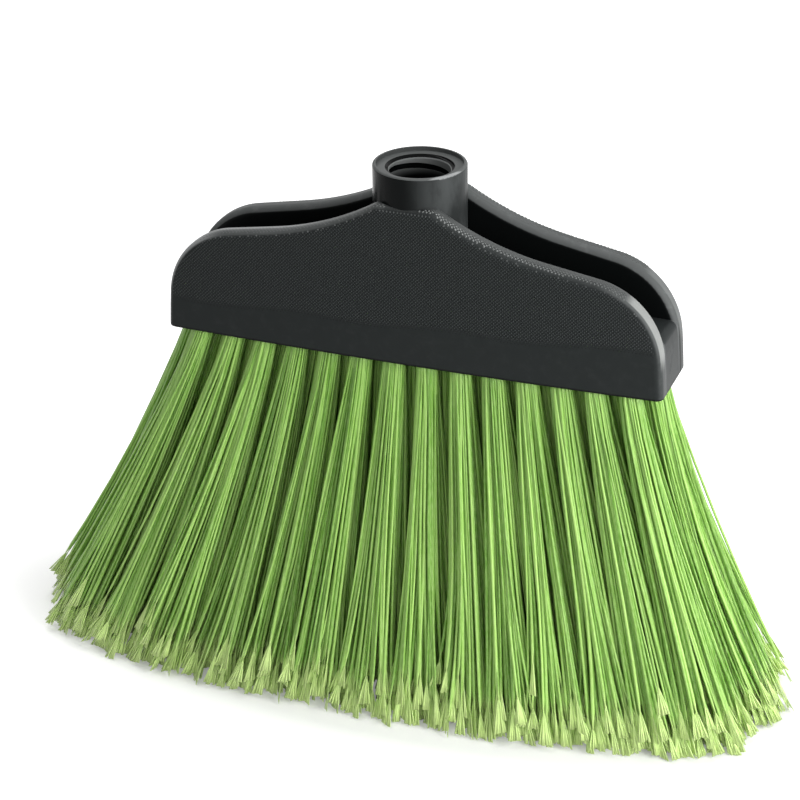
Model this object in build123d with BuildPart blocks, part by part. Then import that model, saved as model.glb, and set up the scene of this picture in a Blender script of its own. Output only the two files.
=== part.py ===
from build123d import *
from math import cos, floor, pi, sin
import os

# Upright broom head in millimetres: a moulded block with a screw socket for a handle,
# three staggered rows of bristle tufts, and the flat wire staples that hold the tufts.
# The floor under the bristle tips is z = 0, the block's length runs along X, and the
# socket opens upwards along +Z over the origin.

# Block
block_length = 180.0
block_depth = 34.0  # over both plates, at the middle of the length
block_end_depth = 30.0  # over both plates, at the ends
plate_thickness = 7.4
plate_outer_round = 2.6
plate_inner_round = 2.5
underside_round = 0.8
base_height = 19.6  # the solid bar between the plates, which holds the tufts
base_end_inset = 0.3  # inside the plates' outline
base_end_round = 3.0
base_weld = 0.4  # how far the bar runs into each plate, past its rounded inner edge

# Outline of the two side plates, with heights from the block's underside
hump_height = 57.2
hump_half_width = 10.0
hump_round = 4.0
valley_height = 42.3  # where the hump's hollow flank meets the straight shoulder
shoulder_height = 39.2  # where the shoulder begins to roll over
shoulder_length = 17.4
roll_over_run = 24.0  # from there to the block's end
end_flank_height = 14.0
end_flank_inset = 0.95

# Collar with the threaded handle socket
socket_radius = 10.4  # over the thread's crests
socket_floor = 6.5  # solid plastic between the socket and the top of the base
thread_depth = 1.2
thread_pitch = 4.7
thread_runout = 20.8  # plain wall below the thread
groove_width = 2.1  # at the thread's crests
groove_root_width = 1.3
groove_overlap = 0.4  # how far the cut reaches into the open socket
lead_in = 1.2  # bevel over the first turn
mouth_step = 3.2  # ledge around the first turn
mouth_depth = 1.4  # of that ledge
collar_lip = 1.2  # around it
collar_rise = 10.5  # above the plates' humps
collar_round = 0.8

# Tuft holes in the underside
tuft_pitch = 11.9
hole_diameter = 7.0
hole_floor = 5.6  # solid plastic between a hole and the top of the base
hole_side_wall = 1.5
hole_end_wall = 1.5

# Staple across each tuft's fold
staple_thickness = 0.6
staple_height = 2.0
staple_bite = 0.9  # how far each end cuts into the hole's wall
staple_angle = 45.0  # turned from the row, so that the thin walls aren't cut
staple_clearance = 0.05
fold_thickness = 1.8  # filaments over the staple

# Bristles
bristle_height = 125.0  # from the floor to the block's underside
sweep_length = 284.0  # over the tips, along the block
sweep_depth = 92.0  # over the tips, across the block
sweep_roundness = 2.4  # power of the oval that the tips fill
tuft_tip_gap = 3.0  # between neighbours in a row, at the floor
row_tip_gap = 7.0  # between rows, at the floor
root_clearance = 0.1
root_round = 1.0
root_show = 1.0  # the bundle's root that stands out of the hole
outer_strands = 8
inner_strands = 2
inner_ring_share = 0.33
strand_width = 1.5
root_margin = 0.35  # between the root's rim and the middle of a strand's side

# Heights and sizes that follow from these
half_length = block_length / 2
underside = bristle_height
base_top = underside + base_height
gap_depth = block_depth - 2 * plate_thickness
gap_end_depth = block_end_depth - 2 * plate_thickness
bar_reach = plate_inner_round + base_weld  # of the base bar into each plate
collar_top = underside + hump_height + collar_rise
socket_bottom = base_top + socket_floor
socket_depth = collar_top - socket_bottom
thread_bottom = socket_bottom + thread_runout
thread_height = collar_top - mouth_depth - thread_bottom
mouth_radius = socket_radius + thread_depth + mouth_step
collar_radius = mouth_radius + collar_lip
hole_radius = hole_diameter / 2
hole_depth = base_height - hole_floor
root_radius = hole_radius - root_clearance
root_top = underside + hole_depth - root_clearance
root_bottom = underside - root_show
staple_length = hole_diameter + 2 * staple_bite
staple_middle = root_top - fold_thickness - staple_height / 2

# Rows of tufts: the middle row has one on the centre line, and the outer rows stand in its gaps
row_offset = block_end_depth / 2 - hole_side_wall - hole_radius
bar_half_length = half_length - end_flank_inset - base_end_inset
steps = (bar_half_length - hole_end_wall - hole_radius) / tuft_pitch
middle_places = [i * tuft_pitch for i in range(-floor(steps), floor(steps) + 1)]
outer_count = 2 * floor(steps + 0.5)
outer_places = [(i - (outer_count - 1) / 2) * tuft_pitch for i in range(outer_count)]
rows = {"front": (-1, outer_places), "middle": (0, middle_places), "rear": (1, outer_places)}
hole_places = [(x, side * row_offset) for side, places in rows.values() for x in places]

# Straight strands run from rings in the root to wider rings at the floor, so none can cross
outer_ring = root_radius - root_margin - strand_width / 2
ring_places = [
    (share * cos(2 * pi * i / count), share * sin(2 * pi * i / count))
    for share, count in ((1, outer_strands), (inner_ring_share, inner_strands))
    for i in range(count)
]
tip_reach = (sweep_length - strand_width) / 2
last_place = max(middle_places + outer_places)
half_pitch_share = tuft_pitch / 2 / last_place
tip_room = tip_reach * half_pitch_share - (strand_width + tuft_tip_gap) / 2
tip_spread_length = tip_room / (1 + half_pitch_share)
tip_spread_depth = (sweep_depth / 2 - 3 * strand_width / 2 - row_tip_gap) / 3
row_tip_offset = (sweep_depth - strand_width) / 2 - tip_spread_depth
fan = (tip_reach - tip_spread_length) / last_place


def bowed_plan(depth, end_depth, length):
    """A rectangle whose two long sides bow outwards, in the current sketch."""
    with BuildLine() as sides:
        rear = ThreePointArc((-length / 2, end_depth / 2), (0, depth / 2), (length / 2, end_depth / 2))
        front = ThreePointArc((-length / 2, -end_depth / 2), (0, -depth / 2), (length / 2, -end_depth / 2))
        Line(rear @ 0, front @ 0)
        Line(rear @ 1, front @ 1)
    make_face(sides.edges())


def plate_rims(part, inner):
    """The edges above the underside of the plates' inner or outer walls."""
    walls = part.faces().filter_by(GeomType.CYLINDER).sort_by(SortBy.AREA)[-4:].sort_by(Axis.Y)
    chosen = walls[1:3] if inner else walls[::3]
    return [edge for wall in chosen for edge in wall.edges().sort_by(Axis.Z)[1:]]


def staple_bar(clearance, mode):
    """A staple's flat bar at the current locations, grown by a clearance on every side."""
    Box(
        staple_length + 2 * clearance,
        staple_thickness + 2 * clearance,
        staple_height + 2 * clearance,
        rotation=(0, 0, staple_angle),
        mode=mode,
    )


def oval_share(x):
    """How much of the sweep's depth the tips fill, at a distance along the block."""
    return (1 - abs(2 * x / sweep_length) ** sweep_roundness) ** (1 / sweep_roundness)


def strand(root, tip):
    """One straight strand with four sides and level ends."""
    run = tip - root
    with BuildSketch(Plane(root)) as section:
        Rectangle(strand_width, strand_width)
    return extrude(section.sketch, amount=run.length, dir=run, mode=Mode.PRIVATE)


def strands_of(x, side):
    """The strands of the tuft at x in the row on one side of the block."""
    made = []
    share = oval_share(fan * x)
    for ring_x, ring_y in ring_places:
        root_y = side * row_offset + outer_ring * ring_y
        tip_y = (side * row_tip_offset + tip_spread_depth * ring_y) * share
        root = Vector(x + outer_ring * ring_x, root_y, underside - root_show / 2)
        made.append(strand(root, Vector(fan * x + tip_spread_length * ring_x, tip_y, 0)))
    return made


os.makedirs("parts", exist_ok=True)

# Outline of the plates, seen from the front
with BuildSketch(Plane.XZ) as outline:
    with BuildLine():
        hump = Vector(hump_half_width, underside + hump_height)
        shoulder = Vector(half_length - roll_over_run, underside + shoulder_height)
        valley = Vector(shoulder.X - shoulder_length, underside + valley_height)
        flank = Vector(half_length - end_flank_inset, underside + end_flank_height)
        foot = Vector(half_length, underside)
        Line((0, hump.Y), hump)
        TangentArc(valley, hump, tangent=valley - shoulder)
        Line(valley, shoulder)
        roll_over = TangentArc(shoulder, flank, tangent=shoulder - valley)
        TangentArc(flank, foot, tangent=roll_over % 1)
        Line(foot, (0, underside))
        mirror(about=Plane.YZ)
    make_face()
    hump_corners = outline.vertices().group_by(Axis.Y)[-1].sort_by(Axis.X)
    fillet([hump_corners[0], hump_corners[-1]], hump_round)

# Solid base bar between the plates, whose ends stand a little inside their outline
with BuildPart() as base_bar:
    for shift, mode in ((-base_end_inset, Mode.ADD), (base_end_inset, Mode.INTERSECT)):
        with BuildSketch(Plane((shift, 0, 0), x_dir=(1, 0, 0), z_dir=(0, -1, 0))):
            add(outline.sketch_local)
        extrude(amount=block_depth / 2, both=True, mode=mode)
    with BuildSketch(Plane.XY.offset(underside)):
        bowed_plan(gap_depth + 2 * bar_reach, gap_end_depth + 2 * bar_reach, block_length)
    extrude(amount=base_height, mode=Mode.INTERSECT)
    end_rims = base_bar.faces().sort_by(Axis.Z)[-1].edges().sort_by(Axis.X)
    fillet([end_rims[0], end_rims[-1]], base_end_round)

# Block
with BuildPart() as broom_block:
    # Two plates, cut from the outline by the bowed plan and the gap between them
    extrude(outline.sketch, amount=block_depth / 2, both=True)
    with BuildSketch(Plane.XY.offset(underside)):
        bowed_plan(block_depth, block_end_depth, block_length)
    extrude(amount=hump_height, mode=Mode.INTERSECT)
    with BuildSketch(Plane.XY.offset(underside)):
        bowed_plan(gap_depth, gap_end_depth, block_length)
    extrude(amount=hump_height, mode=Mode.SUBTRACT)
    fillet(plate_rims(broom_block, inner=False), plate_outer_round)
    fillet(plate_rims(broom_block, inner=True), plate_inner_round)
    undersides = broom_block.faces().group_by(Axis.Z)[0].sort_by(Axis.Y)
    fillet([undersides[0].edges().sort_by(Axis.Y)[0], undersides[1].edges().sort_by(Axis.Y)[-1]], underside_round)

    add(base_bar)

    # Collar and its socket
    with Locations((0, 0, collar_top)):
        Cylinder(collar_radius, collar_top - base_top, align=(Align.CENTER, Align.CENTER, Align.MAX))
    fillet(broom_block.edges().filter_by(GeomType.CIRCLE).sort_by(Axis.Z)[-1], collar_round)
    with Locations((0, 0, collar_top)):
        Cylinder(
            socket_radius, socket_depth, align=(Align.CENTER, Align.CENTER, Align.MAX), mode=Mode.SUBTRACT
        )
        Cylinder(mouth_radius, mouth_depth, align=(Align.CENTER, Align.CENTER, Align.MAX), mode=Mode.SUBTRACT)

    # Coarse right-hand thread, cut outwards from the socket's wall and running out of its mouth
    with BuildLine() as thread_path:
        Helix(thread_pitch, thread_height + groove_width, socket_radius, center=(0, 0, thread_bottom))
    with BuildSketch(Plane(thread_path.line @ 0, x_dir=(1, 0, 0), z_dir=thread_path.line % 0)):
        with BuildLine():
            Polyline(
                (-groove_overlap, -groove_width / 2),
                (0, -groove_width / 2),
                (thread_depth, -groove_root_width / 2),
                (thread_depth, groove_root_width / 2),
                (0, groove_width / 2),
                (-groove_overlap, groove_width / 2),
                close=True,
            )
        make_face()
    sweep(path=thread_path.line, is_frenet=True, mode=Mode.SUBTRACT)

    # Bevel over the thread's first turn, cut after the thread because the sweep fails on its edges
    with Locations((0, 0, collar_top - mouth_depth)):
        Cone(
            socket_radius,
            socket_radius + lead_in,
            lead_in,
            align=(Align.CENTER, Align.CENTER, Align.MAX),
            mode=Mode.SUBTRACT,
        )

    # Tuft holes, with a slot in the wall of each for the ends of its staple
    with Locations([(x, y, underside) for x, y in hole_places]):
        Cylinder(hole_radius, hole_depth, align=(Align.CENTER, Align.CENTER, Align.MIN), mode=Mode.SUBTRACT)
    with Locations([(x, y, staple_middle) for x, y in hole_places]):
        staple_bar(staple_clearance, Mode.SUBTRACT)

broom_block.part.label = "broom_block"
export_step(broom_block.part, "parts/broom_block.step")

# Tufts: a root that fills the hole around its staple, and strands that fan out to the floor
for row, (side, places) in rows.items():
    for number, x in enumerate(places, 1):
        with BuildPart() as tuft:
            with Locations((x, side * row_offset, root_bottom)):
                Cylinder(root_radius, root_top - root_bottom, align=(Align.CENTER, Align.CENTER, Align.MIN))
            fillet(tuft.edges().filter_by(GeomType.CIRCLE).sort_by(Axis.Z)[-1], root_round)
            with Locations((x, side * row_offset, staple_middle)):
                staple_bar(staple_clearance, Mode.SUBTRACT)
            add(strands_of(x, side))
        tuft.part.label = f"tuft_{row}_{number:02d}"
        export_step(tuft.part, f"parts/{tuft.part.label}.step")

# Staples, one group of separate bars for each row
for row, (side, places) in rows.items():
    with BuildPart() as staples:
        with Locations([(x, side * row_offset, staple_middle) for x in places]):
            staple_bar(0, Mode.ADD)
    staples.part.label = f"staples_{row}"
    export_step(staples.part, f"parts/{staples.part.label}.step")
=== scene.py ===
import math

import bpy
import numpy as np
from mathutils import Matrix, Vector
from mathutils.bvhtree import BVHTree


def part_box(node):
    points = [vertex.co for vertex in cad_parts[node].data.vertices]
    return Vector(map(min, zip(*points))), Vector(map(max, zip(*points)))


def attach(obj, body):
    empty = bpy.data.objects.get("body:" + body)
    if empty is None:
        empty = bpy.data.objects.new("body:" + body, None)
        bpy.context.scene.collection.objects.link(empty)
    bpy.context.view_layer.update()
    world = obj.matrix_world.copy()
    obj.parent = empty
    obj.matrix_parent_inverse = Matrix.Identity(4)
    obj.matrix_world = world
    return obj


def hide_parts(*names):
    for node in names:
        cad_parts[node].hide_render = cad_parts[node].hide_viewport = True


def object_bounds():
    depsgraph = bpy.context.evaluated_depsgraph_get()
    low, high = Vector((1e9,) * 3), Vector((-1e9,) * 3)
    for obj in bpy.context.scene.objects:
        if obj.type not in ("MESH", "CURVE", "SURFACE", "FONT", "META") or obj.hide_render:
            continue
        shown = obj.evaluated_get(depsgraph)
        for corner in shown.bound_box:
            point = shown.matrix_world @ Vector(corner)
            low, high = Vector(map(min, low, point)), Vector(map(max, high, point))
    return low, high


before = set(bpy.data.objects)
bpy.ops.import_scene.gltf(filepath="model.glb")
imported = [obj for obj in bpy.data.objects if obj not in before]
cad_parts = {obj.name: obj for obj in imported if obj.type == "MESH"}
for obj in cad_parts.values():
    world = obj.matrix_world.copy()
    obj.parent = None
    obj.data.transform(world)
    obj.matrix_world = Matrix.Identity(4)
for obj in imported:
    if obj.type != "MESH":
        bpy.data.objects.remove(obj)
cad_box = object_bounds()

# An upright broom head in metres: a satin black moulded block with a knurled grip texture,
# and tufts of green filaments whose split tips stand on the floor.
MM = 0.001

# Camera
CAMERA_TURN = math.radians(21.28)  # to the right of the front
CAMERA_RISE = math.radians(26.75)
CAMERA_ROLL = math.radians(-0.74)
CAMERA_DISTANCE = 0.813
CAMERA_AIM = Vector((-8.2 * MM, 0, 102.5 * MM))
CAMERA_SENSOR = 36
CAMERA_LENS = 103.9

# The block's places: its box, read from model.glb, and its main inner sizes
BLOCK_LOW, BLOCK_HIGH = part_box("broom_block")
UNDERSIDE = BLOCK_LOW.z
BLOCK_HALF_LENGTH = BLOCK_HIGH.x
BLOCK_HALF_DEPTH = BLOCK_HIGH.y
BLOCK_TOP = BLOCK_HIGH.z
COLLAR_REACH = 16.1 * MM  # from the socket's axis
TROUGH_HALF_WIDTH = 9.5 * MM  # at the middle of the length
TROUGH_END_HALF_WIDTH = 7.6 * MM
TROUGH_BOW = TROUGH_HALF_WIDTH - TROUGH_END_HALF_WIDTH
TROUGH_FLOOR = UNDERSIDE + 19.6 * MM
TROUGH_MARGIN = 1 * MM  # off the trough's floor and walls, for the material's zones

# Knurl on the plates' outer faces
KNURL_PITCH = 1.25 * MM  # between the peaks of one level row
KNURL_HEIGHT = 0.24 * MM
KNURL_SINK = 0.06 * MM  # of its base into the plate
KNURL_BOTTOM = 13.5 * MM  # its lower edge, above the underside at the middle of the length
KNURL_SLOPE = 0.03  # how fast that edge rises along the block
KNURL_WOBBLE = 0.7 * MM
KNURL_WOBBLE_RUN = 9 * MM
KNURL_FADE = 2.5 * MM
KNURL_FACING = 0.66  # least part of the surface's normal that points away from the block
RIM_KNURL_FACING = 0.8  # most of it, on the rims
RIM_KNURL_HEIGHT = (0.07 * MM, 0.24 * MM)  # on the flat top and on the rounding
RIM_KNURL_ROUNDING = (0.02, 0.14)  # of the normal across the block, from one to the other
RIM_KNURL_ALONG = (-14 * MM, -2 * MM)  # along the block, from faint to bold knurl on the rounding
RIM_KNURL_END = 76 * MM  # along the block
RIM_KNURL_FADE = 14 * MM
RIM_PEAK_ALONG = (20 * MM, 70 * MM)  # where the painted highlight on the rims' knurl peaks fades
RIM_PEAK_FADE = (1, 0.45)
RIM_INNER_EDGE = -0.1  # most part of a rim's normal that points into the trough

# Colours of the block's plates
BLOCK_SHINE = 0.06
BLOCK_DARK = (0.0195, 0.0225, 0.0225, 1)
BLOCK_DUSTY = (0.036, 0.04, 0.04, 1)
# Painted shade: the knurl darker than the plate's own colour, as if its grooves were shaded
BLOCK_VALLEY_SHADE = (0.004, 0.005, 0.005, 1)
# Painted highlights: glints on the knurl's peaks
BLOCK_PEAK_HIGHLIGHT = (0.056, 0.062, 0.062, 1)
# Painted shade in the trough and along the plates' lower edge
BLOCK_INSIDE_SHADE = (0.004, 0.0048, 0.0048, 1)
# Painted highlight on the plates' rims, paler on the rear one
BLOCK_RIM_HIGHLIGHT = (0.1, 0.106, 0.105, 1)
BLOCK_REAR_RIM_HIGHLIGHT = (0.125, 0.132, 0.131, 1)
# Painted highlight on the knurl's peaks on the rims
BLOCK_RIM_PEAK_HIGHLIGHT = (0.34, 0.355, 0.35, 1)
# Painted highlight on the front rim's left part and on the collar's lip
BLOCK_PAINTED_HIGHLIGHT = (0.3, 0.31, 0.31, 1)
# Painted highlight on the rims at the block's ends
BLOCK_END_HIGHLIGHT = (0.3, 0.31, 0.3, 1)

# Where the plates' rims begin, and where highlights and shade are painted on the plates
RIM_FACING = (0.95, 0.7)  # of the normal across the block, from a plate's face to its rim
RIM_INNER_FACING = (0.99, 0.92)  # the same, towards the trough
RIM_RISING = (-0.1, 0.25)  # of the normal upwards, from the underside's edge to a rim
RIM_VALLEY = (1.0, 0.25)  # how much of the rims' painted highlight the knurl's valleys take, from faint to bold knurl
RIM_DUST = (0.75, 1.0)  # how much of the rims' painted highlight clean and dusty places take
INWARDS = -0.0005  # most of a place across the block times its normal, where it faces the trough
UNDER_EDGE = (1.3 * MM, 0.5 * MM)  # above the underside, where painted shade darkens the plates' lower edge
# Painted highlight on the front rim left of the hump
RIM_HIGHLIGHT_EDGE = (4.2 * MM, 3.4 * MM)  # from the front plate's inner face onto its rim
RIM_HIGHLIGHT_ALONG = (-22 * MM, -44 * MM)
RIM_HIGHLIGHT_KNURL = 0.45  # how much of it the rim's knurl takes
RIM_HIGHLIGHT_END = (-66 * MM, -78 * MM)  # along the block, where all of the rim takes the painted highlight
# Painted highlight around the block's ends, strongest at the front right
END_HIGHLIGHT_START = (75.5 * MM, 79 * MM)  # along the block
END_HIGHLIGHT_BOTTOM = (9.5 * MM, 17 * MM)  # above the underside
END_HIGHLIGHT_ACROSS = 9.8 * MM  # from the middle of the depth, where the plates' rims begin
END_HIGHLIGHT_FACING = (0.62, 0.45)  # of the normal across the block
END_HIGHLIGHT_DUST = (0.85, 1.0)
END_HIGHLIGHT_SHARE = (0.25, 1.0)  # on the other ends, and on the front right one

# Collar and thread
COLLAR_SMOOTH = (0.003, 0.004, 0.004, 1)
# Painted sheen on the collar's right side
COLLAR_SHEEN = (0.062, 0.067, 0.067, 1)
# Painted highlight on the collar's up-facing ring
COLLAR_RING_HIGHLIGHT = (0.105, 0.111, 0.11, 1)
COLLAR_RING_DEPTH = 1.7 * MM  # below the collar's top
COLLAR_RING_FACING = 0.35  # least part of its normal upwards
COLLAR_SHEEN_ALONG = (-1 * MM, 14 * MM)  # along the block, from its smooth side to the side with the painted sheen
COLLAR_FLOW = (0.35, 0.65)  # of the flow marks' noise, from bare marks to marks with the painted sheen
COLLAR_FLOW_SHARE = (0.4, 1.0)  # how much of the painted sheen those take
LEDGE_WALL = 0.6  # how much of the ring's painted highlight the wall around the ledge takes
LIP_RADIUS = 14.9 * MM
LIP_LIT_WAY = Vector((0.83, -0.56))  # towards the painted highlight on the lip, seen from the axis
LIP_LIT = (14.1 * MM, 15 * MM)  # along that way, from the plain lip to the painted highlight
LIP_FACING = (0.3, 0.6)  # of its normal upwards
# Painted shade inside the socket, and a painted highlight on its thread's crests
THREAD_INSIDE_SHADE = (0.003, 0.0035, 0.0035, 1)
THREAD_CREST_HIGHLIGHT = (0.16, 0.168, 0.166, 1)
THREAD_CREST_RADIUS = 10.7 * MM
THREAD_ROOT_RADIUS = 11.75 * MM
THREAD_LIT_DEPTH = (9 * MM, 3.5 * MM)  # below the collar's top, from crests in painted shade to crests with a painted highlight

# Gloss and fine relief of the block: grain, dust, and flow marks on the collar
PLATE_ROUGHNESS = (0.36, 0.48)
COLLAR_ROUGHNESS = (0.22, 0.45)
GRAIN_SCALE = 2600.0
GRAIN_DETAIL = 3.0
GRAIN_HEIGHT = 0.05 * MM
GRAIN_STRENGTH = 0.35
DUST_SCALE = 240.0
DUST_DETAIL = 5.0
DUST_ROUGHNESS = 0.65
DUST_SHOWN = (0.45, 0.8)  # of the noise, from clean to dusty
DUST_STRENGTH = 0.35
FLOW_SCALE = 90.0
FLOW_STRETCH = (1, 1, 0.45)
FLOW_DETAIL = 4.0
FLOW_ROUGHNESS = 0.6
FLOW_HEIGHT = 0.5 * MM
FLOW_STRENGTH = 0.25

# Bristle material
BRISTLE_DEEP = (0.135, 0.325, 0.027, 1)
BRISTLE_LIGHT = (0.43, 0.71, 0.165, 1)
# Pale streaks along the filaments, part grain and part painted sheen
BRISTLE_STREAK_SHEEN = (0.6, 0.82, 0.33, 1)
BRISTLE_TIP = (0.69, 0.89, 0.33, 1)
BRISTLE_ROUGHNESS = (0.28, 0.42)
ROOT_SHADE = 0.3  # how much of the deep colour the filaments take near the block
ROOT_SHADE_DEPTH = (60 * MM, 5 * MM)  # below the underside, from none to all of it
STREAK_SCALE = 1500.0
STREAK_STRETCH = (1, 1, 0.03)
STREAK_DETAIL = 3.0
STREAK_SHOWN = (0.35, 0.7)  # of the noise, from none to full streaks
STREAK_SHARE = 0.28
STREAK_GLOSS = (0.3, 0.7)  # of the noise, from glossy to rough
STREAK_HEIGHT = 0.1 * MM
STREAK_STRENGTH = 0.1

# Staple material
STAPLE_DARK = (0.42, 0.42, 0.41, 1)
STAPLE_LIGHT = (0.62, 0.62, 0.61, 1)
STAPLE_SCALE = 900.0
STAPLE_STRETCH = (1, 1, 8)
STAPLE_LINES = (0.3, 0.7)  # of the noise, from glossy to rough
STAPLE_ROUGHNESS = (0.25, 0.45)

# Filaments
SEED = 11
ROWS = 3
FILAMENTS_ACROSS = 12  # a tuft's roots and tips fill a grid of this many by this many
FILAMENT_JITTER = 0.8  # of half a step of that grid
CLUMPS = 9  # groups of filaments that cling together in each tuft
CLUMP_REACH = 0.9  # of the grid's half width
CLUMP_PULL = 0.38  # at the middle of the height
CLUMP_TIP_PULL = 0.15
ROOT_DEPTH = 2 * MM  # inside the hole
ROOT_RADIUS = 3.2 * MM
BUNDLE_RADIUS = (4.8 * MM, 3.7 * MM)  # of the middle and outer rows just under their holes, where they swell
SWELL_SHARE = 0.04  # of the way down
FLARE_POWER = (1.12, 1.19)  # at the left and right ends of the sweep
FILAMENT_WIDTH = (0.65 * MM, 1.1 * MM)
FILAMENT_SPREAD = 0.4  # how much wider a filament grows towards its split end
FILAMENT_OVAL = 0.8  # short width over long width
FILAMENT_SIDES = 6
SHAFT_LEVELS = np.array([0, 0.04, 0.14, 0.3, 0.48, 0.66, 0.83, 0.94, 1])
SHAFT_FRAY = 0.25  # how frayed a shaft looks where it begins to thin
SHAFT_END = 0.12  # width of a shaft's end over its full width
BOW = 0.9 * MM
TIP_LEVEL = 1 * MM  # of the CAD strands' tips, above the lowest one
TIP_SCATTER = 1.3 * MM
TIP_OVERLAP = 1.3  # tips of neighbouring tufts mingle
TIP_LIFT = 1.0 * MM
SHORT_SHARE = 0.45  # of the filaments, cut shorter than the rest
SHORT_LIFT = 9 * MM
FLOOR_CLEARANCE = 0.2 * MM
STRAY_SHARE = 0.06
STRAY_SCATTER = 2.0 * MM
STRAY_LIFT = 6 * MM
STRAY_BOW = 1.1 * MM
OUTLIERS = 1.5  # most of a filament's random offset over its spread

# The sweep, the oval that the tips fill on the floor
SWEEP_ROUNDNESS = 2.6  # power of the oval
SWEEP_LEAST = 0.02  # keeps some depth at the oval's ends
SWEEP_REACH = (1.035, 0.943)  # the tips' reach to the left and right over the CAD strands'
SWEEP_DEPTH_REACH = 1.05  # the same across the block
CAD_HALF_LENGTH = cad_box[1].x
SWEEP_HALF_LENGTH = CAD_HALF_LENGTH * max(SWEEP_REACH)
SWEEP_HALF_DEPTH = cad_box[1].y * SWEEP_DEPTH_REACH
LEAN = np.array([-3 * MM, -2 * MM])  # how far the bristles have been swept aside at the floor
TWIST = math.radians(1.5)
SHEAR = 0.11  # how far the rear tips have been swept to the right of the front ones
DRIFT = 10 * MM  # how far the tips of the middle tufts have been swept to the right
DRIFT_POWER = 3  # how fast that fades towards the ends

# Flags, the split ends of the filaments, each a fan of flat hairs
FLAG_LENGTH = (7 * MM, 13 * MM)
FLAG_HALF_WIDTH = (1.2 * MM, 2.5 * MM)
FLAG_DEPTH = 0.15 * MM
FLAG_HAIRS = 5
FLAG_FLARE = 0.8
FLAG_TURN = math.radians(32)
HAIR_START = 0.1 * MM  # half width where the hair leaves the filament
HAIR_COVER = 1.25  # of the fan's width at its end
HAIR_STRAY = 0.07
HAIR_OVAL = 0.25
HAIR_SIDES = 4
HAIR_LEVELS = np.array([0, 0.3, 0.65, 1])
HAIR_FRAY = (0.6, 1.0)  # how pale a hair is, from its start to its end
HAIR_RAGGED = 0.3 * MM
SPLIT_TAPER = 0.3  # of the flag's length, over which the shaft thins to nothing

# Stage
FLOOR_SIZE = 12.0
FLOOR_COLOUR = (0.8, 0.8, 0.8, 1)
FLOOR_GLOW = (0.22, 0.8)  # under the tips and away from them
FLOOR_GLOW_REACH = (0.145, 0.21)  # along the block
FLOOR_GLOW_OVAL = 2.6  # how much sooner it begins across the block
WORLD_COLOUR = (1, 1, 1, 1)
WORLD_LIGHT = (0.2, 1.0)  # on the object, and as the camera sees it
LIGHT_AIM = Vector((0, 0, 0.1))

# Softboxes: direction from the aim, distance, size and power
LIGHTS = {
    "key": (Vector((0.92, -0.3, 0.33)), 0.55, 0.35, 3.15),
    "overhead": (Vector((-0.15, 0.25, 0.96)), 0.9, 0.7, 5.2),
    "front": (Vector((0.2, -0.88, 0.42)), 1.3, 0.6, 2.55),
}


# Shader helpers


def node(tree, kind, inputs=None, **settings):
    """A new shader node, with its settings and with inputs that are values or other nodes' outputs."""
    made = tree.nodes.new("ShaderNode" + kind)
    for name, value in settings.items():
        setattr(made, name, value)
    for name, value in (inputs or {}).items():
        if isinstance(value, bpy.types.NodeSocket):
            tree.links.new(value, made.inputs[name])
        else:
            made.inputs[name].default_value = value
    return made


def calculate(tree, operation, first, second=0.0, clamp=False):
    """The result of a Math node."""
    return node(tree, "Math", {0: first, 1: second}, operation=operation, use_clamp=clamp).outputs[0]


def product(tree, first, *others):
    """Values multiplied together."""
    for other in others:
        first = calculate(tree, "MULTIPLY", first, other)
    return first


def ramp_between(tree, value, low, high, to_low=0.0, to_high=1.0, kind="SMOOTHSTEP"):
    """A value carried from one range to another, and held at its ends."""
    sockets = {"Value": value, "From Min": low, "From Max": high, "To Min": to_low, "To Max": to_high}
    return node(tree, "MapRange", sockets, interpolation_type=kind).outputs[0]


def spread(tree, share, limits):
    """A share from 0 to 1 carried between two limits."""
    return ramp_between(tree, share, 0.0, 1.0, *limits)


def mix_colours(tree, factor, first, second):
    """The result of a colour Mix node."""
    return node(tree, "Mix", {0: factor, 6: first, 7: second}, data_type="RGBA").outputs[2]


def noise(tree, place, scale, detail=2.0, roughness=0.5):
    """A noise texture's value at a place."""
    sockets = {"Vector": place, "Scale": scale, "Detail": detail, "Roughness": roughness}
    return node(tree, "TexNoise", sockets).outputs[0]


def stretched(tree, place, scale):
    """A place scaled by its own factor on each axis."""
    return node(tree, "Mapping", {"Vector": place, "Scale": scale}).outputs[0]


def length(tree, vector):
    """The length of a vector."""
    return node(tree, "VectorMath", {0: vector}, operation="LENGTH").outputs["Value"]


def attribute(tree, name):
    """A mesh attribute's value."""
    return node(tree, "Attribute", attribute_name=name).outputs["Fac"]


def bump(tree, height, strength, distance):
    """A node that turns a height into a fine relief."""
    return node(tree, "Bump", {"Strength": strength, "Distance": distance, "Height": height})


def object_place(tree):
    """A place in the object's own metres."""
    return node(tree, "TexCoord").outputs["Object"]


def new_material(name):
    """A material's node tree with only its shader and output."""
    material = bpy.data.materials.new(name)
    material.use_nodes = True
    tree = material.node_tree
    return material, tree, tree.nodes["Principled BSDF"]


def connect(tree, shader, sockets):
    """Links nodes' outputs to a shader's inputs."""
    for name, output in sockets.items():
        tree.links.new(output, shader.inputs[name])


# Block material


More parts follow.
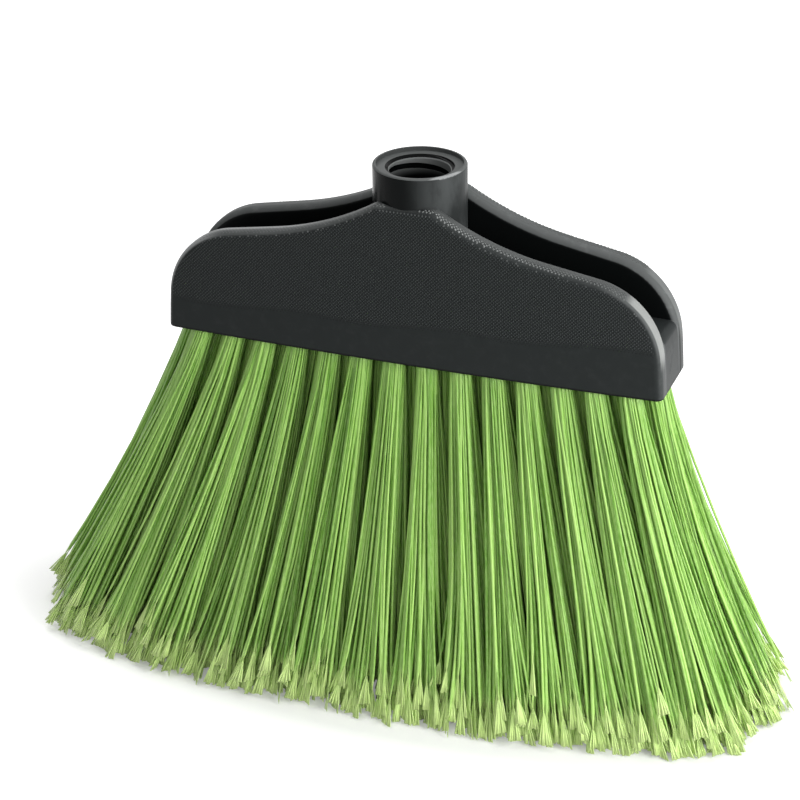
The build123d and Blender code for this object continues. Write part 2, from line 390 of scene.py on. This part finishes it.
class BlockZones:
    """Where the block's collar, trough, rims and places of painted light and shade are, as values from 0 to 1
    in its material.
    """

    def __init__(self, tree):
        self.tree = tree
        self.place = object_place(tree)
        self.x, self.y, self.z = node(tree, "SeparateXYZ", {0: self.place}).outputs
        normal = node(tree, "NewGeometry").outputs["Normal"]
        _, facing_y, self.upwards = node(tree, "SeparateXYZ", {0: normal}).outputs
        self.peak = attribute(tree, "peak")
        self.knurled = attribute(tree, "knurled")
        # where the knurl lies on a rim, which sets how much painted peak highlight it takes
        self.knurled_rim = attribute(tree, "rim")
        self.smooth = calculate(tree, "SUBTRACT", 1.0, self.knurled)
        dust = noise(tree, self.place, DUST_SCALE, DUST_DETAIL, DUST_ROUGHNESS)
        self.dust = ramp_between(tree, dust, *DUST_SHOWN)
        drawn = stretched(tree, self.place, FLOW_STRETCH)
        self.flow = noise(tree, drawn, FLOW_SCALE, FLOW_DETAIL, FLOW_ROUGHNESS)
        self.from_axis = length(tree, stretched(tree, self.place, (1, 1, 0)))
        self.across = calculate(tree, "ABSOLUTE", self.y)
        self.sideways = calculate(tree, "ABSOLUTE", facing_y)
        self.inwards = calculate(tree, "LESS_THAN", product(tree, self.y, facing_y), INWARDS)
        self.at_front = calculate(tree, "LESS_THAN", self.y, 0.0)
        self.at_rear = calculate(tree, "GREATER_THAN", self.y, 0.0)
        self.above_floor = calculate(tree, "GREATER_THAN", self.z, TROUGH_FLOOR + TROUGH_MARGIN)
        self.off_trough = self.measure_off_trough()
        self.rim = self.find_rim()

    def within(self, radius):
        """One inside a radius around the socket's axis."""
        return calculate(self.tree, "LESS_THAN", self.from_axis, radius)

    def measure_off_trough(self):
        """How far a place is from its plate's inner face, which bows along the block."""
        along = calculate(self.tree, "DIVIDE", self.x, BLOCK_HALF_LENGTH)
        bow = product(self.tree, along, along, TROUGH_BOW)
        off_middle = calculate(self.tree, "SUBTRACT", self.across, TROUGH_HALF_WIDTH)
        return calculate(self.tree, "ADD", off_middle, bow)

    def find_rim(self):
        """The plates' rounded rims."""
        outer = ramp_between(self.tree, self.sideways, *RIM_FACING)
        inner = product(self.tree, ramp_between(self.tree, self.sideways, *RIM_INNER_FACING), self.inwards)
        rounded = calculate(self.tree, "MAXIMUM", outer, inner)
        rising = ramp_between(self.tree, self.upwards, *RIM_RISING)
        on_plate = calculate(self.tree, "GREATER_THAN", self.off_trough, 0.0)
        outside = calculate(self.tree, "MAXIMUM", self.above_floor, on_plate)
        return product(self.tree, rounded, rising, outside)

    def bold_knurl(self):
        """The rims' outer rounding right of the hump, where the knurl is bold."""
        outwards = product(self.tree, self.sideways, calculate(self.tree, "SUBTRACT", 1.0, self.inwards))
        before_end = ramp_between(self.tree, self.x, RIM_KNURL_END, RIM_KNURL_END - RIM_KNURL_FADE)
        along = ramp_between(self.tree, self.x, *RIM_KNURL_ALONG)
        return product(self.tree, before_end, along, ramp_between(self.tree, outwards, *RIM_KNURL_ROUNDING))

    def pale_rim(self):
        """Painted highlight on the smooth rims and in the valleys of their knurl."""
        plain = spread(self.tree, self.bold_knurl(), RIM_VALLEY)
        smooth = product(self.tree, self.rim, self.smooth, plain)
        valley = ramp_between(self.tree, self.x, *RIM_KNURL_ALONG, *RIM_VALLEY)
        both = calculate(self.tree, "ADD", smooth, product(self.tree, self.knurled_rim, valley), clamp=True)
        return product(self.tree, both, spread(self.tree, self.dust, RIM_DUST))

    def painted_rim_highlight(self):
        """A painted highlight on the front rim left of the hump, along its inner edge and all around its left
        end.
        """
        worn_knurl = spread(self.tree, self.knurled, (1.0, RIM_HIGHLIGHT_KNURL))
        edge = product(self.tree, ramp_between(self.tree, self.off_trough, *RIM_HIGHLIGHT_EDGE), worn_knurl)
        end = product(self.tree, ramp_between(self.tree, self.x, *RIM_HIGHLIGHT_END), self.smooth)
        worn = calculate(self.tree, "MAXIMUM", edge, end)
        along = ramp_between(self.tree, self.x, *RIM_HIGHLIGHT_ALONG)
        return product(self.tree, worn, along, self.at_front, self.rim)

    def shaded(self):
        """Painted shade on the trough's walls and on the plates' lower edge."""
        beside = calculate(self.tree, "GREATER_THAN", self.across, TROUGH_END_HALF_WIDTH - TROUGH_MARGIN)
        inside = product(self.tree, beside, self.inwards, self.smooth)
        under = ramp_between(self.tree, self.z, *(UNDERSIDE + height for height in UNDER_EDGE))
        return calculate(self.tree, "MAXIMUM", inside, under)

    def painted_end_highlight(self):
        """A painted highlight on the rims around the block's ends, above all the front right one."""
        outwards = ramp_between(self.tree, calculate(self.tree, "ABSOLUTE", self.x), *END_HIGHLIGHT_START)
        above = ramp_between(self.tree, self.z, *(UNDERSIDE + height for height in END_HIGHLIGHT_BOTTOM))
        on_rim = calculate(self.tree, "GREATER_THAN", self.across, END_HIGHLIGHT_ACROSS)
        facing = ramp_between(self.tree, self.sideways, *END_HIGHLIGHT_FACING)
        dusty = spread(self.tree, self.dust, END_HIGHLIGHT_DUST)
        at_right = calculate(self.tree, "GREATER_THAN", self.x, 0.0)
        share = spread(self.tree, product(self.tree, at_right, self.at_front), END_HIGHLIGHT_SHARE)
        return product(self.tree, outwards, above, on_rim, facing, dusty, share)

    def on_collar(self):
        """The collar and its socket."""
        return product(self.tree, self.above_floor, self.within(COLLAR_REACH))

    def painted_sheen(self):
        """A painted sheen on the collar's right side, in uneven marks."""
        marks = ramp_between(self.tree, self.flow, *COLLAR_FLOW, *COLLAR_FLOW_SHARE)
        return product(self.tree, ramp_between(self.tree, self.x, *COLLAR_SHEEN_ALONG), marks)

    def ring_height(self):
        """The level of the collar's ring."""
        return calculate(self.tree, "GREATER_THAN", self.z, BLOCK_TOP - COLLAR_RING_DEPTH)

    def ring(self):
        """A painted highlight on the ring around the socket's mouth, and on the wall around its ledge."""
        level = calculate(self.tree, "GREATER_THAN", self.upwards, COLLAR_RING_FACING)
        wall = product(self.tree, self.within(LIP_RADIUS), LEDGE_WALL)
        return product(self.tree, self.ring_height(), calculate(self.tree, "MAXIMUM", level, wall))

    def lip(self):
        """A painted highlight, a crescent on the collar's lip."""
        lit_x = product(self.tree, self.x, LIP_LIT_WAY.x)
        lit_y = product(self.tree, self.y, LIP_LIT_WAY.y)
        lit = ramp_between(self.tree, calculate(self.tree, "ADD", lit_x, lit_y), *LIP_LIT)
        beyond = calculate(self.tree, "GREATER_THAN", self.from_axis, LIP_RADIUS)
        rising = ramp_between(self.tree, self.upwards, *LIP_FACING)
        return product(self.tree, lit, beyond, rising, self.ring_height())

    def thread_crest(self):
        """A painted highlight on the thread's crests near the socket's mouth, fading into painted shade
        deeper down.
        """
        lit = ramp_between(self.tree, self.z, *(BLOCK_TOP - depth for depth in THREAD_LIT_DEPTH))
        return product(self.tree, self.within(THREAD_CREST_RADIUS), lit)


def plate_colour(tree, zones):
    """Dusty dark plates with a knurl in painted shade and painted highlights on its peaks, a trough in
    painted shade, and rims with painted highlights.
    """
    colour = mix_colours(tree, product(tree, zones.dust, DUST_STRENGTH), BLOCK_DARK, BLOCK_DUSTY)
    # Painted shade in the knurl's grooves
    colour = mix_colours(tree, zones.knurled, colour, BLOCK_VALLEY_SHADE)
    # Painted shade in the trough and on the lower edge
    colour = mix_colours(tree, zones.shaded(), colour, BLOCK_INSIDE_SHADE)
    # Painted highlight on the rims
    rim_colour = mix_colours(tree, zones.at_rear, BLOCK_RIM_HIGHLIGHT, BLOCK_REAR_RIM_HIGHLIGHT)
    colour = mix_colours(tree, zones.pale_rim(), colour, rim_colour)
    # Painted highlights on the knurl's peaks
    peak_colour = mix_colours(tree, zones.knurled_rim, BLOCK_PEAK_HIGHLIGHT, BLOCK_RIM_PEAK_HIGHLIGHT)
    colour = mix_colours(tree, zones.peak, colour, peak_colour)
    # Painted highlight on the front rim left of the hump
    colour = mix_colours(tree, zones.painted_rim_highlight(), colour, BLOCK_PAINTED_HIGHLIGHT)
    # Painted highlight on the rims at the block's ends
    return mix_colours(tree, zones.painted_end_highlight(), colour, BLOCK_END_HIGHLIGHT)


def collar_colour(tree, zones, painted_sheen):
    """A collar with a painted sheen on one side, painted highlights on its ring and lip, and a thread in
    painted shade with painted highlights on its crests.
    """
    # Painted sheen on the collar's right side
    colour = mix_colours(tree, painted_sheen, COLLAR_SMOOTH, COLLAR_SHEEN)
    # Painted highlight on the collar's ring
    colour = mix_colours(tree, zones.ring(), colour, COLLAR_RING_HIGHLIGHT)
    # Painted highlight on the collar's lip
    colour = mix_colours(tree, zones.lip(), colour, BLOCK_PAINTED_HIGHLIGHT)
    # Painted shade inside the socket, with painted highlights on the crests
    thread = mix_colours(tree, zones.thread_crest(), THREAD_INSIDE_SHADE, THREAD_CREST_HIGHLIGHT)
    return mix_colours(tree, zones.within(THREAD_ROOT_RADIUS), colour, thread)


def block_material():
    """Satin black plastic, dusty on its plates, with painted highlights on its rims, ends and collar, painted
    shade in its trough and socket, and a smoother collar.
    """
    material, tree, shader = new_material("block_plastic_satin")
    zones = BlockZones(tree)
    on_collar = zones.on_collar()
    # the collar's painted sheen, which also sets its roughness
    painted_sheen = zones.painted_sheen()
    colour = mix_colours(tree, on_collar, plate_colour(tree, zones), collar_colour(tree, zones, painted_sheen))
    plate_rough = spread(tree, zones.dust, PLATE_ROUGHNESS)
    collar_rough = spread(tree, painted_sheen, COLLAR_ROUGHNESS)
    rough = node(tree, "Mix", {0: on_collar, 2: plate_rough, 3: collar_rough}, data_type="FLOAT")
    grain = bump(tree, noise(tree, zones.place, GRAIN_SCALE, GRAIN_DETAIL), GRAIN_STRENGTH, GRAIN_HEIGHT)
    relief = bump(tree, product(tree, zones.flow, on_collar), FLOW_STRENGTH, FLOW_HEIGHT)
    tree.links.new(grain.outputs[0], relief.inputs["Normal"])
    connect(tree, shader, {"Base Color": colour, "Roughness": rough.outputs[0], "Normal": relief.outputs[0]})
    shader.inputs["Specular IOR Level"].default_value = BLOCK_SHINE
    return material


# Other materials


def bristle_material():
    """Green drawn filament, uneven from one to the next, with streaks along it that are also a painted sheen,
    painted shade near the block, and pale frayed tips.
    """
    material, tree, shader = new_material("bristle_green_filament")
    place = object_place(tree)
    height = node(tree, "SeparateXYZ", {0: place}).outputs[2]
    streaks = noise(tree, stretched(tree, place, STREAK_STRETCH), STREAK_SCALE, STREAK_DETAIL)
    streaked = product(tree, ramp_between(tree, streaks, *STREAK_SHOWN), STREAK_SHARE)
    shade_from, shade_to = (UNDERSIDE - depth for depth in ROOT_SHADE_DEPTH)
    rooted = ramp_between(tree, height, shade_from, shade_to, 0.0, ROOT_SHADE)
    colour = mix_colours(tree, attribute(tree, "tone"), BRISTLE_DEEP, BRISTLE_LIGHT)
    # Streaks along the filaments, part grain and part painted sheen
    colour = mix_colours(tree, streaked, colour, BRISTLE_STREAK_SHEEN)
    colour = mix_colours(tree, rooted, colour, BRISTLE_DEEP)
    colour = mix_colours(tree, attribute(tree, "flag"), colour, BRISTLE_TIP)
    rough = ramp_between(tree, streaks, *STREAK_GLOSS, *BRISTLE_ROUGHNESS)
    relief = bump(tree, streaks, STREAK_STRENGTH, STREAK_HEIGHT).outputs[0]
    connect(tree, shader, {"Base Color": colour, "Roughness": rough, "Normal": relief})
    return material


def staple_material():
    """Flat steel wire, drawn along its length."""
    material, tree, shader = new_material("staple_drawn_steel")
    lines = noise(tree, stretched(tree, object_place(tree), STAPLE_STRETCH), STAPLE_SCALE)
    colour = mix_colours(tree, lines, STAPLE_DARK, STAPLE_LIGHT)
    rough = ramp_between(tree, lines, *STAPLE_LINES, *STAPLE_ROUGHNESS)
    connect(tree, shader, {"Base Color": colour, "Roughness": rough})
    shader.inputs["Metallic"].default_value = 1.0
    return material


# Meshes


def joined(parts):
    """Vertices, faces and two attributes of several groups of faces as one."""
    faces, start = [], 0
    for vertices, part_faces, _, _ in parts:
        faces += [[corner + start for corner in face] for face in part_faces]
        start += len(vertices)
    vertices, first, second = (np.concatenate([part[i] for part in parts]) for i in (0, 2, 3))
    return vertices, faces, first, second


def new_piece(name, vertices, faces, material, attributes=None):
    """An object in the scene, with one material and with attributes that have a value at each vertex."""
    mesh = bpy.data.meshes.new(name)
    mesh.from_pydata(vertices, [], faces)
    for label, values in (attributes or {}).items():
        mesh.attributes.new(label, "FLOAT", "POINT").data.foreach_set("value", values)
    mesh.materials.append(material)
    piece = bpy.data.objects.new(name, mesh)
    bpy.context.scene.collection.objects.link(piece)
    return piece


# Knurl


def points_facing(surface, starts, direction):
    """Points and normals of the surface under a grid of starting places, off the collar."""
    found = {}
    for place, start in starts.items():
        point, normal, _, _ = surface.ray_cast(start, direction)
        if point and point.xy.length > COLLAR_REACH:
            found[place] = (point, normal)
    return found


def knurl_points(side):
    """Points and normals of one plate's outer face and of its rim, each on an even grid."""
    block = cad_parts["broom_block"].data
    corners = [vertex.co for vertex in block.vertices]
    surface = BVHTree.FromPolygons(corners, [polygon.vertices for polygon in block.polygons])
    step = KNURL_PITCH / 2
    columns = list(enumerate(np.arange(-BLOCK_HALF_LENGTH, BLOCK_HALF_LENGTH, step)))
    rows = list(enumerate(np.arange(UNDERSIDE, BLOCK_TOP, step)))
    courses = list(enumerate(side * np.arange(TROUGH_END_HALF_WIDTH, BLOCK_HALF_DEPTH, step)))
    beside = side * 2 * BLOCK_HALF_DEPTH
    above = 2 * BLOCK_TOP
    face = {(i, j): Vector((x, beside, z)) for i, x in columns for j, z in rows}
    rim = {(i, j): Vector((x, y, above)) for i, x in columns for j, y in courses}
    face = points_facing(surface, face, Vector((0, -side, 0)))
    rim = points_facing(surface, rim, Vector((0, 0, -1)))
    face = {place: hit for place, hit in face.items() if side * hit[1].y > KNURL_FACING}
    rim = {place: hit for place, hit in rim.items() if RIM_INNER_EDGE < side * hit[1].y < RIM_KNURL_FACING}
    return face, rim


def pyramids(found, height_at, turned):
    """Vertices, faces, peaks and rims of closed little pyramids on every other point of a grid."""
    vertices, faces, peaks, rims = [], [], [], []
    for (i, j), (middle, normal) in found.items():
        around = [(i + 1, j), (i, j + 1), (i - 1, j), (i, j - 1)][::turned]
        height = height_at(middle, normal)
        if (i + j) % 2 or height <= 0 or not all(place in found for place in around):
            continue
        top = len(vertices)
        base = [top + 1 + k for k in range(len(around))]
        vertices.append(middle + normal * height)
        vertices += [found[place][0] - found[place][1] * KNURL_SINK for place in around]
        faces += [(top, corner, following) for corner, following in zip(base, base[1:] + base[:1])]
        faces.append(base[::-1])
        peaks += [height / KNURL_HEIGHT] + [0] * len(base)
        # How much painted highlight a peak on a rim takes, fading along the block
        on_rim = np.interp(abs(normal.y), RIM_FACING[::-1], (1, 0))
        rims += [on_rim * np.interp(middle.x, RIM_PEAK_ALONG, RIM_PEAK_FADE)] * (1 + len(base))
    return vertices, faces, peaks, rims


def face_height(point, normal):
    """How high the knurl of a plate's face stands at a point, above its plain band."""
    if abs(point.x) > RIM_KNURL_END and abs(normal.y) < RIM_FACING[0]:
        return 0
    wobble = KNURL_WOBBLE * math.sin(point.x / KNURL_WOBBLE_RUN)
    edge = UNDERSIDE + KNURL_BOTTOM + KNURL_SLOPE * point.x + wobble
    return KNURL_HEIGHT * min((point.z - edge) / KNURL_FADE, 1)


def rim_height(point, normal):
    """How high the knurl of a plate's rim stands at a point, away from the smooth ends."""
    if abs(point.x) > RIM_KNURL_END:
        return 0
    rounded = np.interp(abs(normal.y), RIM_KNURL_ROUNDING, (0, 1))
    bold = rounded * np.interp(point.x, RIM_KNURL_ALONG, (0, 1))
    return float(np.interp(bold, (0, 1), RIM_KNURL_HEIGHT))


def make_knurl(name, side, material):
    """The diamond knurl of one plate's outer face and rim."""
    face, rim = knurl_points(side)
    parts = [pyramids(face, face_height, -side), pyramids(rim, rim_height, side)]
    vertices, faces, peaks, rims = joined(parts)
    attributes = {"peak": peaks, "rim": rims, "knurled": np.ones(len(vertices))}
    piece = new_piece(name, vertices.tolist(), faces, material, attributes)
    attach(piece, "root")


# Filaments


def between(random, limits, size):
    """Random numbers between two limits."""
    return random.uniform(limits[0], limits[1], size)


def even_steps(count):
    """Middles of even steps from -1 to 1."""
    return (np.arange(count) + 0.5) / count * 2 - 1


def tubes(paths, radii, sides, turns, oval):
    """Vertices and faces of closed tubes with level rings, from paths of shape (tubes, rings, 3)."""
    count, rings, _ = paths.shape
    around = np.arange(sides) * 2 * math.pi / sides
    flat_x, flat_y = np.cos(around), oval * np.sin(around)
    turned_x = np.cos(turns)[:, None] * flat_x - np.sin(turns)[:, None] * flat_y
    turned_y = np.sin(turns)[:, None] * flat_x + np.cos(turns)[:, None] * flat_y
    ring = np.stack([turned_x, turned_y, np.zeros_like(turned_x)], -1)
    vertices = paths[:, :, None, :] + radii[:, :, None, None] * ring[:, None, :, :]
    side = np.arange(sides)
    beside = (side + 1) % sides
    band = np.stack([side, sides + side, sides + beside, beside], -1)
    wall = np.concatenate([row * sides + band for row in range(rings - 1)])
    starts = np.arange(count) * rings * sides
    quads = (wall[None] + starts[:, None, None]).reshape(-1, 4)
    tops = starts[:, None] + side
    bottoms = starts[:, None] + (rings - 1) * sides + side[::-1]
    return vertices.reshape(-1, 3), quads.tolist() + tops.tolist() + bottoms.tolist()


def tuft_layout(tuft):
    """The middle of a tuft's root, and the middle and half size of its CAD strands' tips along the block."""
    points = np.array([vertex.co for vertex in tuft.data.vertices])
    root = points[points[:, 2] > UNDERSIDE]
    tips = points[points[:, 2] < points[:, 2].min() + TIP_LEVEL]
    low, high = tips[:, 0].min(), tips[:, 0].max()
    return (root.min(0) + root.max(0))[:2] / 2, (low + high) / 2, (high - low) / 2


def in_disc(square):
    """Points of a square from -1 to 1 carried onto a disc."""
    return square * np.sqrt(1 - square[:, ::-1] ** 2 / 2)


def oval_share(x):
    """How much of the sweep's depth the tips fill, at places along the block."""
    inside = np.clip(1 - np.abs(x / SWEEP_HALF_LENGTH) ** SWEEP_ROUNDNESS, SWEEP_LEAST, 1)
    return inside ** (1 / SWEEP_ROUNDNESS)


def swept(tips):
    """Tips of an even oval, sheared and turned a little about the block's middle, and leaning to one side."""
    turn = np.array([[math.cos(TWIST), math.sin(TWIST)], [-math.sin(TWIST), math.cos(TWIST)]])
    shear = np.array([[1, 0], [SHEAR, 1]])
    return tips @ shear @ turn + LEAN


class Tuft:
    """The random lie of one tuft's filaments."""

    def __init__(self, random, root, tip_x, tip_half_width):
        self.root = root
        self.row = 0 if abs(root[1]) < ROOT_RADIUS else math.copysign(1, root[1])
        self.bundle_radius = BUNDLE_RADIUS[int(self.row != 0)]
        drift = DRIFT * (1 - abs(tip_x / CAD_HALF_LENGTH) ** DRIFT_POWER)
        self.tip_x = tip_x * SWEEP_REACH[int(tip_x > 0)] + drift
        self.tip_half_width = tip_half_width * TIP_OVERLAP
        self.flare = np.interp(tip_x, (-SWEEP_HALF_LENGTH, SWEEP_HALF_LENGTH), FLARE_POWER)
        self.spread_roots(random)
        self.scatter_tips(random)
        self.shape_filaments(random)

    def spread_roots(self, random):
        """Filaments on an uneven grid, each drawn to the nearest of a few clumps."""
        across = even_steps(FILAMENTS_ACROSS)
        grid = np.stack(np.meshgrid(across, across), -1).reshape(-1, 2)
        self.count = len(grid)
        jitter = random.uniform(-FILAMENT_JITTER, FILAMENT_JITTER, grid.shape)
        self.square = grid + jitter / FILAMENTS_ACROSS
        clumps = random.uniform(-CLUMP_REACH, CLUMP_REACH, (CLUMPS, 2))
        distance = np.linalg.norm(self.square[:, None] - clumps[None], axis=-1)
        self.clump = clumps[distance.argmin(1)]

    def scatter_tips(self, random):
        """How far each filament strays, bows and stops above the floor."""
        stray = random.random(self.count) < STRAY_SHARE
        offsets = np.clip(random.normal(0, 1, (2, self.count, 2)), -OUTLIERS, OUTLIERS)
        self.scatter = offsets[0] * np.where(stray, STRAY_SCATTER, TIP_SCATTER)[:, None]
        self.bow = offsets[1] * np.where(stray, STRAY_BOW, BOW)[:, None]
        lift = np.abs(random.normal(0, 1, self.count)) * np.where(stray, STRAY_LIFT, TIP_LIFT)
        short = random.random(self.count) < SHORT_SHARE
        self.tip_height = FLOOR_CLEARANCE + lift + short * random.uniform(0, SHORT_LIFT, self.count)

    def shape_filaments(self, random):
        """Each filament's width, turn, tone and flag, and where along its length it splits."""
        self.width = between(random, FILAMENT_WIDTH, self.count)
        self.turn = random.uniform(0, 2 * math.pi, self.count)
        self.tone = random.random(self.count)
        flag_length = between(random, FLAG_LENGTH, self.count)
        self.flag_half_width = between(random, FLAG_HALF_WIDTH, self.count)
        self.split = 1 - flag_length / (UNDERSIDE + ROOT_DEPTH - self.tip_height)

    def tips(self, square):
        """Where points of the tuft's square meet the floor."""
        x = self.tip_x + square[:, 0] * self.tip_half_width
        y = (2 * self.row + square[:, 1]) / ROWS * SWEEP_HALF_DEPTH * oval_share(x)
        return swept(np.stack([x, y], -1))

    def lie(self, square, share):
        """Where filaments that start from points of the tuft's square are, at shares of the way down."""
        swell = np.clip(share / SWELL_SHARE, 0, 1)
        radius = ROOT_RADIUS + (self.bundle_radius - ROOT_RADIUS) * swell
        roots = self.root + in_disc(square)[:, None, :] * radius[..., None]
        flared = (share**self.flare)[..., None]
        return roots * (1 - flared) + self.tips(square)[:, None, :] * flared

    def path(self, share):
        """Points of every filament at its shares of the way down, of shape (filaments, rings)."""
        arch = np.sin(math.pi * share)
        pull = (CLUMP_PULL * arch + CLUMP_TIP_PULL * share)[..., None]
        own, clump = self.lie(self.square, share), self.lie(self.clump, share)
        flat = own + (clump - own) * pull + self.bow[:, None] * arch[..., None]
        flat = flat + self.scatter[:, None] * share[..., None] ** 2
        top = UNDERSIDE + ROOT_DEPTH
        height = top + (self.tip_height[:, None] - top) * share
        return np.concatenate([flat, height[..., None]], -1)

    def shafts(self):
        """The filaments down to their split ends, with how frayed each vertex is."""
        end = self.split + SPLIT_TAPER * (1 - self.split)
        share = end[:, None] * SHAFT_LEVELS
        thin = np.clip((end[:, None] - share) / (end - self.split)[:, None], SHAFT_END, 1)
        radii = self.width[:, None] / 2 * thin * (1 + FILAMENT_SPREAD * share)
        vertices, faces = tubes(self.path(share), radii, FILAMENT_SIDES, self.turn, FILAMENT_OVAL)
        frayed = np.where(thin < 1, np.clip(1 + SHAFT_FRAY - thin, 0, 1), 0)
        frayed = np.repeat(frayed.ravel(), FILAMENT_SIDES)
        tone = np.repeat(self.tone, len(SHAFT_LEVELS) * FILAMENT_SIDES)
        return vertices, faces, frayed, tone

    def fan_turns(self, ends, random):
        """Which way each flag fans out, roughly along the rim of the sweep."""
        out_x = ends[:, 0] / SWEEP_HALF_LENGTH**2
        out_y = ends[:, 1] / SWEEP_HALF_DEPTH**2
        return np.arctan2(out_y, out_x) + math.pi / 2 + random.normal(0, FLAG_TURN, self.count)

    def fan_offsets(self, turns, random):
        """How far the ends of each flag's hairs stand from its filament."""
        size = (self.count, FLAG_HAIRS)
        fan = np.stack([np.cos(turns), np.sin(turns)], -1)
        through = np.stack([-fan[:, 1], fan[:, 0]], -1)
        sideways = even_steps(FLAG_HAIRS) + random.normal(0, HAIR_STRAY, size)
        sideways = sideways * self.flag_half_width[:, None]
        depth = random.normal(0, FLAG_DEPTH, size)
        return sideways[..., None] * fan[:, None] + depth[..., None] * through[:, None]

    def hairs(self, random):
        """The flags' flat hairs, with how frayed each vertex is."""
        share = self.split[:, None] + (1 - self.split)[:, None] * HAIR_LEVELS
        along = self.path(share)
        turns = self.fan_turns(along[:, -1], random)
        offsets = self.fan_offsets(turns, random)[:, :, None]
        ragged = np.abs(random.normal(0, HAIR_RAGGED, (self.count, FLAG_HAIRS)))
        paths = np.repeat(along[:, None], FLAG_HAIRS, 1)
        paths[..., :2] += offsets * (HAIR_LEVELS**FLAG_FLARE)[:, None]
        paths[..., 2] += ragged[..., None] * HAIR_LEVELS
        paths = paths.reshape(-1, len(HAIR_LEVELS), 3)
        end_width = HAIR_COVER * self.flag_half_width / FLAG_HAIRS
        radii = HAIR_START + (end_width - HAIR_START)[:, None] * HAIR_LEVELS
        radii = np.repeat(radii, FLAG_HAIRS, 0)
        vertices, faces = tubes(paths, radii, HAIR_SIDES, np.repeat(turns, FLAG_HAIRS), HAIR_OVAL)
        frayed = np.interp(HAIR_LEVELS, (0, 1), HAIR_FRAY)
        frayed = np.tile(np.repeat(frayed, HAIR_SIDES), len(paths))
        tone = np.repeat(self.tone, FLAG_HAIRS * len(HAIR_LEVELS) * HAIR_SIDES)
        return vertices, faces, frayed, tone


def make_tuft(name, material, random):
    """One tuft of split filaments in place of its CAD strands."""
    tuft = Tuft(random, *tuft_layout(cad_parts[name]))
    vertices, faces, frayed, tone = joined([tuft.shafts(), tuft.hairs(random)])
    attributes = {"flag": frayed, "tone": tone}
    piece = new_piece(name + "_filaments", vertices.tolist(), faces, material, attributes)
    piece.data.shade_smooth()
    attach(piece, "root")
    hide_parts(name)


# Stage


def shown_white(tree):
    """One for what the camera or a mirror sees, and zero for light that falls on the object."""
    rays = node(tree, "LightPath").outputs
    seen = calculate(tree, "ADD", rays["Is Camera Ray"], rays["Is Glossy Ray"])
    return calculate(tree, "ADD", seen, rays["Is Transmission Ray"], clamp=True)


def floor_material():
    """A pale floor that shows white around the object and keeps the soft shadow under it."""
    material, tree, shader = new_material("floor_white")
    tree.nodes.remove(shader)
    diffuse = node(tree, "BsdfDiffuse", {"Color": FLOOR_COLOUR})
    away = length(tree, stretched(tree, object_place(tree), (1, FLOOR_GLOW_OVAL, 1)))
    glow = ramp_between(tree, away, *FLOOR_GLOW_REACH, *FLOOR_GLOW, kind="LINEAR")
    glowing = node(tree, "Emission", {"Strength": product(tree, shown_white(tree), glow)})
    both = node(tree, "AddShader", {0: diffuse.outputs[0], 1: glowing.outputs[0]})
    connect(tree, tree.nodes["Material Output"], {"Surface": both.outputs[0]})
    return material


def make_floor():
    """A large level floor under the tips."""
    half = FLOOR_SIZE / 2
    corners = [(-half, -half, 0), (half, -half, 0), (half, half, 0), (-half, half, 0)]
    floor = new_piece("floor", corners, [(0, 1, 2, 3)], floor_material())


def make_world():
    """A white surround that lights the object gently from all sides."""
    world = bpy.data.worlds.new("studio")
    bpy.context.scene.world = world
    world.use_nodes = True
    tree = world.node_tree
    background = tree.nodes["Background"]
    connect(tree, background, {"Strength": spread(tree, shown_white(tree), WORLD_LIGHT)})
    background.inputs["Color"].default_value = WORLD_COLOUR


def make_lights():
    """Square softboxes that face the object."""
    for name, (direction, distance, size, power) in LIGHTS.items():
        light = bpy.data.lights.new(name, "AREA")
        light.size = size
        light.energy = power
        lamp = bpy.data.objects.new(name, light)
        lamp.location = LIGHT_AIM + distance * direction.normalized()
        lamp.rotation_euler = direction.to_track_quat("Z", "Y").to_euler()
        bpy.context.scene.collection.objects.link(lamp)


def make_camera():
    """The photograph's viewpoint."""
    flat = math.cos(CAMERA_RISE)
    back = Vector((math.sin(CAMERA_TURN) * flat, -math.cos(CAMERA_TURN) * flat, math.sin(CAMERA_RISE)))
    right = Vector((math.cos(CAMERA_TURN), math.sin(CAMERA_TURN), 0))
    level = Matrix((right, back.cross(right), back)).transposed().to_4x4()
    camera = bpy.data.cameras.new("camera")
    camera.sensor_width = CAMERA_SENSOR
    camera.lens = CAMERA_LENS
    seat = bpy.data.objects.new("camera", camera)
    place = Matrix.Translation(CAMERA_AIM + CAMERA_DISTANCE * back)
    seat.matrix_world = place @ level @ Matrix.Rotation(CAMERA_ROLL, 4, "Z")
    bpy.context.scene.collection.objects.link(seat)
    bpy.context.scene.camera = seat


bpy.context.scene.view_settings.view_transform = "Standard"
make_camera()
make_world()
make_lights()
make_floor()

black = block_material()
steel = staple_material()
green = bristle_material()
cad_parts["broom_block"].material_slots[0].material = black
make_knurl("knurl_front", -1, black)
make_knurl("knurl_rear", 1, black)
filament_random = np.random.default_rng(SEED)
for node_name in sorted(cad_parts):
    if node_name.startswith("staples"):
        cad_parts[node_name].material_slots[0].material = steel
    if node_name.startswith("tuft"):
        make_tuft(node_name, green, filament_random)
